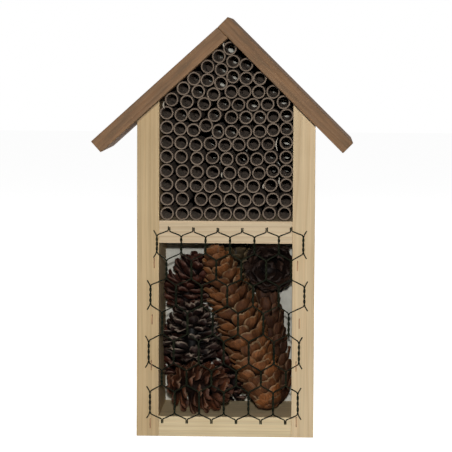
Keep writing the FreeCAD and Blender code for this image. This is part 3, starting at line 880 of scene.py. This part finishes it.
def cones():
    looks = {name: cone_look(name, *colours) for name, colours in CONE_LOOKS.items()}
    slim = dict(SPRUCE_SCALE, length=20 * MM, width=9 * MM, flare=1.16)
    broad = dict(PINE_SCALE, length=17 * MM, width=9 * MM, swell=1.1 * MM, unruly=26)
    full = dict(PINE_SCALE, flare=1.35)
    plain = PINE_SCALE
    # Each cone: look, number of scales, scale form, spread of the scales, core width, seed.
    settings = {
        "spruce_cone_long": ("orange_brown_scales", 114, SPRUCE_SCALE, (56, 54, 38), 0.42, 3),
        "spruce_cone_dark": ("umber_scales", 92, slim, (38, 28, 20), 0.42, 5),
        "pine_cone_upper_right": ("sooty_scales", 58, plain, (80, 50, 22), 0.42, 7),
        "pine_cone_upper_left": ("dark_brown_scales", 68, plain, (96, 70, 32), 0.28, 11),
        "pine_cone_middle_left": ("black_brown_scales", 70, broad, (100, 80, 40), 0.26, 13),
        "pine_cone_lower_left": ("russet_scales", 58, plain, (96, 70, 30), 0.28, 17),
        "pine_cone_rear_left": ("dark_brown_scales", 68, full, (90, 66, 30), 0.30, 19),
        "pine_cone_rear_upper": ("grey_olive_scales", 68, full, (80, 56, 28), 0.36, 23),
        "pine_cone_rear_lower": ("dark_brown_scales", 64, plain, (90, 60, 28), 0.34, 29),
    }
    for name, (look, *measures) in settings.items():
        slot = "spruce_cone" if name == "spruce_cone_long" else "dark_cone"
        cone(name, looks[look], slot, *measures)


# ---- wire netting --------------------------------------------------------
def netting_x(row, position):
    left, right = NETTING_ROWS[row][:2]
    return (left + (right - left) * position / NETTING_COLUMNS) * MM


def netting_point(x, z, ahead=0.0):
    """A point on the netting's plane, which bellies a little between its staples."""
    across = max(0.0, math.cos(math.pi * x / (2 * HALF_WIDTH)))
    upward = max(0.0, math.sin(math.pi * z / SHELF_TOP))
    clear = TWIST_RADIUS + WIRE_RADIUS + 0.05 * MM
    return Vector((x, FRONT_Y - clear - NETTING_BULGE * across * upward - ahead, z))


def twist_place(row, wire):
    """Where the twisted side that a wire shares in a row stands, in columns, and its side of it."""
    if row % 2 == 0:
        return wire // 2, -1 if wire % 2 == 0 else 1
    return (wire + 1) // 2 - 0.5, 1 if wire % 2 == 0 else -1


def twisted_side(row, wire):
    """One wire of a twisted pair, turning about the pair's middle line."""
    position, side = twist_place(row, wire)
    x = netting_x(row, position)
    top, bottom = (level * MM for level in NETTING_ROWS[row][2:])
    if row == 0:
        top -= NETTING_SAG * math.cos(math.pi * x / (2 * HALF_WIDTH))
    steps = 44
    line = []
    for step in range(steps + 1):
        share = step / steps
        turn = 2 * math.pi * TWIST_TURNS * share
        across = side * TWIST_RADIUS * math.cos(turn)
        ahead = side * TWIST_RADIUS * math.sin(turn)
        line.append(netting_point(x + across, top + (bottom - top) * share, ahead))
    return line


def stub(point, side, rise):
    return netting_point(point.x + side * NETTING_STUB * 0.6, point.z + rise * NETTING_STUB)


def long_wire(wire):
    line = []
    for row in range(len(NETTING_ROWS)):
        line += twisted_side(row, wire)
    side = TWIST_RADIUS if wire % 2 == 0 else -TWIST_RADIUS
    position = (wire + 1) // 2 - 0.5
    top_x = netting_x(0, position) + side
    low_x = netting_x(len(NETTING_ROWS) - 1, position) + side
    top = line[0].z + NETTING_RISE
    low = line[-1].z - NETTING_DROP
    start = [netting_point(top_x, top + NETTING_STUB), netting_point(top_x, top)]
    end = [netting_point(low_x, low), netting_point(low_x, low - NETTING_STUB)]
    return start + line + end


def edge_wires(wire):
    outward = -1 if wire == 0 else 1
    lines = []
    for row in range(0, len(NETTING_ROWS), 2):
        line = twisted_side(row, wire)
        lines.append([stub(line[0], outward, 1)] + line + [stub(line[-1], outward, -1)])
    return lines


def netting(material):
    last = NETTING_COLUMNS * 2 + 1
    lines = [long_wire(wire) for wire in range(1, last)]
    lines += edge_wires(0) + edge_wires(last)
    shells = Shells()
    for line in lines:
        shells.add(*swept(rounded(line, 0.35 * MM, 3), WIRE_RADIUS, 10))
    shells.piece("hexagonal_netting", material, ["wire_mesh"], smooth_angle=60)


def staples(material):
    """Bent wire staples, each through the middle of its CAD one."""
    shells = Shells()
    for part in islands(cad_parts["mesh_staples"].data):
        low, high = corners(part)
        x = (low.x + high.x) / 2
        radius = (high.x - low.x) / 2
        out = low.y + radius
        line = [
            Vector((x, high.y, low.z + radius)), Vector((x, out, low.z + radius)),
            Vector((x, out, high.z - radius)), Vector((x, high.y, high.z - radius)),
        ]
        shells.add(*swept(rounded(line, 0.25 * MM, 3), radius, 10))
    shells.piece("netting_staples", material, ["mesh_staples"], smooth_angle=60)


# ---- floor, light, camera ------------------------------------------------
def floor():
    size = 6.0
    mesh = bpy.data.meshes.new("studio_floor")
    corners = [(-size, -size, 0), (size, -size, 0), (size, size, 0), (-size, size, 0)]
    mesh.from_pydata(corners, [], [(0, 1, 2, 3)])
    ground = bpy.data.objects.new("studio_floor", mesh)
    bpy.context.scene.collection.objects.link(ground)
    look = Look("studio_floor", Roughness=0.9)
    look.shader.inputs["Base Color"].default_value = (0.86, 0.86, 0.86, 1)
    look.shader.inputs["Emission Color"].default_value = (1, 1, 1, 1)
    look.shader.inputs["Emission Strength"].default_value = 0.93
    mesh.materials.append(look.material)
    ground.visible_diffuse = False


def sky():
    world = bpy.data.worlds.new("studio")
    bpy.context.scene.world = world
    world.use_nodes = True
    tree = world.node_tree
    background = tree.nodes["Background"]
    path = tree.nodes.new("ShaderNodeLightPath")
    strength = tree.nodes.new("ShaderNodeMapRange")
    tree.links.new(path.outputs["Is Camera Ray"], strength.inputs["Value"])
    strength.inputs["To Min"].default_value = SKY_STRENGTH
    strength.inputs["To Max"].default_value = 1.0
    tree.links.new(strength.outputs["Result"], background.inputs["Strength"])
    background.inputs["Color"].default_value = (1, 1, 1, 1)


def area_light(name, place, target, size, power, colour=(1, 1, 1)):
    light = bpy.data.lights.new(name, "AREA")
    light.shape = "DISK"
    light.size = size
    light.energy = power
    light.color = colour
    lamp = bpy.data.objects.new(name, light)
    lamp.location = place
    lamp.rotation_euler = (target - place).to_track_quat("-Z", "Y").to_euler()
    bpy.context.scene.collection.objects.link(lamp)


def camera():
    """The camera, and its place."""
    level = math.cos(CAMERA_ELEVATION)
    back = Vector((
        math.sin(CAMERA_AZIMUTH) * level, -math.cos(CAMERA_AZIMUTH) * level,
        math.sin(CAMERA_ELEVATION),
    ))
    place = CAMERA_TARGET + back * CAMERA_DISTANCE
    right = (-back).cross(UP).normalized()
    upward = right.cross(-back)
    rolled_right = right * math.cos(CAMERA_ROLL) + upward * math.sin(CAMERA_ROLL)
    rolled_up = upward * math.cos(CAMERA_ROLL) - right * math.sin(CAMERA_ROLL)
    lens = bpy.data.cameras.new("camera")
    lens.sensor_width = 36
    lens.sensor_fit = "HORIZONTAL"
    lens.lens = CAMERA_LENS
    lens.clip_start = 0.05
    lens.clip_end = 50
    viewer = bpy.data.objects.new("camera", lens)
    turn = Matrix((rolled_right, rolled_up, back)).transposed()
    viewer.matrix_world = Matrix.Translation(place) @ turn.to_4x4()
    bpy.context.scene.collection.objects.link(viewer)
    bpy.context.scene.camera = viewer
    return place


def dress(material, *nodes):
    """Gives CAD nodes their material."""
    for name in nodes:
        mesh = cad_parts[name].data
        mesh.materials.clear()
        mesh.materials.append(material)


# ---- the hotel -----------------------------------------------------------
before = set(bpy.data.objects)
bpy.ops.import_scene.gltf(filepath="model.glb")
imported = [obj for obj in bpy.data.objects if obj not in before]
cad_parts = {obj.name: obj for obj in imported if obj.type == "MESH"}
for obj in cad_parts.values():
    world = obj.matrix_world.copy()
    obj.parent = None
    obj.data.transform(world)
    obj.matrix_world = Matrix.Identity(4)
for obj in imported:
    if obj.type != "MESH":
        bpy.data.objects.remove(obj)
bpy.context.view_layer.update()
FRONT_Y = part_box("side_board_right")[0].y
HALF_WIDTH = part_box("side_board_right")[1].x
SHELF_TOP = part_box("middle_shelf")[1].z

posts = {}
for side, pith in (("left", (0.085, 0.050, 0)), ("right", (-0.030, 0.095, 0))):
    normal, top = post_top(side)
    # The dark band along each post's sloping top, under its roof board, is painted shade.
    painted_shade_planes = [((-normal).to_tuple(), -top, PAINTED_SHADE_REACH)]
    posts[side] = wood(
        "pine_post_" + side, UPRIGHT, pith, *PINE[side], ring=3.1 * MM, contrast=0.42,
        painted_shade_planes=painted_shade_planes,
    )
dress(posts["left"], "side_board_left")
dress(posts["right"], "side_board_right")
shelf = wood("pine_shelf", LYING, (0.06, 0.035, 0), *PINE["shelf"], ring=3.4 * MM)
dress(shelf, "middle_shelf")
base = wood("pine_base", LYING, (-0.05, 0.08, 0), *PINE["base"], ring=2.9 * MM)
dress(base, "base_board")
roof_left = wood(
    "stained_roof_left", (0, math.pi / 2 + LEFT_PITCH, 0), (0.05, 0.09, 0), *PINE["roof"],
    ring=3.4 * MM, contrast=0.8, stain=STAINS,
)
dress(roof_left, "roof_board_left")
roof_right = wood(
    "stained_roof_right", (0, math.pi / 2 - RIGHT_PITCH, 0), (-0.06, 0.07, 0), *PINE["roof"],
    ring=3.0 * MM, contrast=0.8, stain=STAINS,
)
dress(roof_right, "roof_board_right")
dress(faced_board(), "back_panel")
dress(
    steel("plain_nail_steel", (0.42, 0.41, 0.39), (0.20, 0.18, 0.16), 0.38),
    "roof_nails_left", "roof_nails_right", "ridge_nails", "shelf_nails_left", "shelf_nails_right",
    "base_nails_left", "base_nails_right", "back_panel_pins",
)
dress(
    steel("galvanised_steel", (0.62, 0.63, 0.63), (0.40, 0.41, 0.42), 0.30),
    "hanger_plate", "hanger_screws",
)
tubes(card())
cones()
netting(coated_wire())
staples(steel("tarnished_staple_wire", (0.42, 0.24, 0.13), (0.20, 0.11, 0.07), 0.45))

floor()
sky()
viewpoint = camera()
area_light(
    "flash", viewpoint + UP * KEY_ABOVE_LENS, CAMERA_TARGET, KEY_SIZE, KEY_POWER, (1, 0.985, 0.96)
)
for side in (-1, 1):
    area_light("rear_fill", Vector((side * 1.3, 1.2, 0.8)), CAMERA_TARGET, 0.9, 9)
    area_light("side_fill", Vector((side * 1.8, 0.15, 0.5)), CAMERA_TARGET, 0.8, 7)
bpy.context.scene.view_settings.view_transform = "Standard"
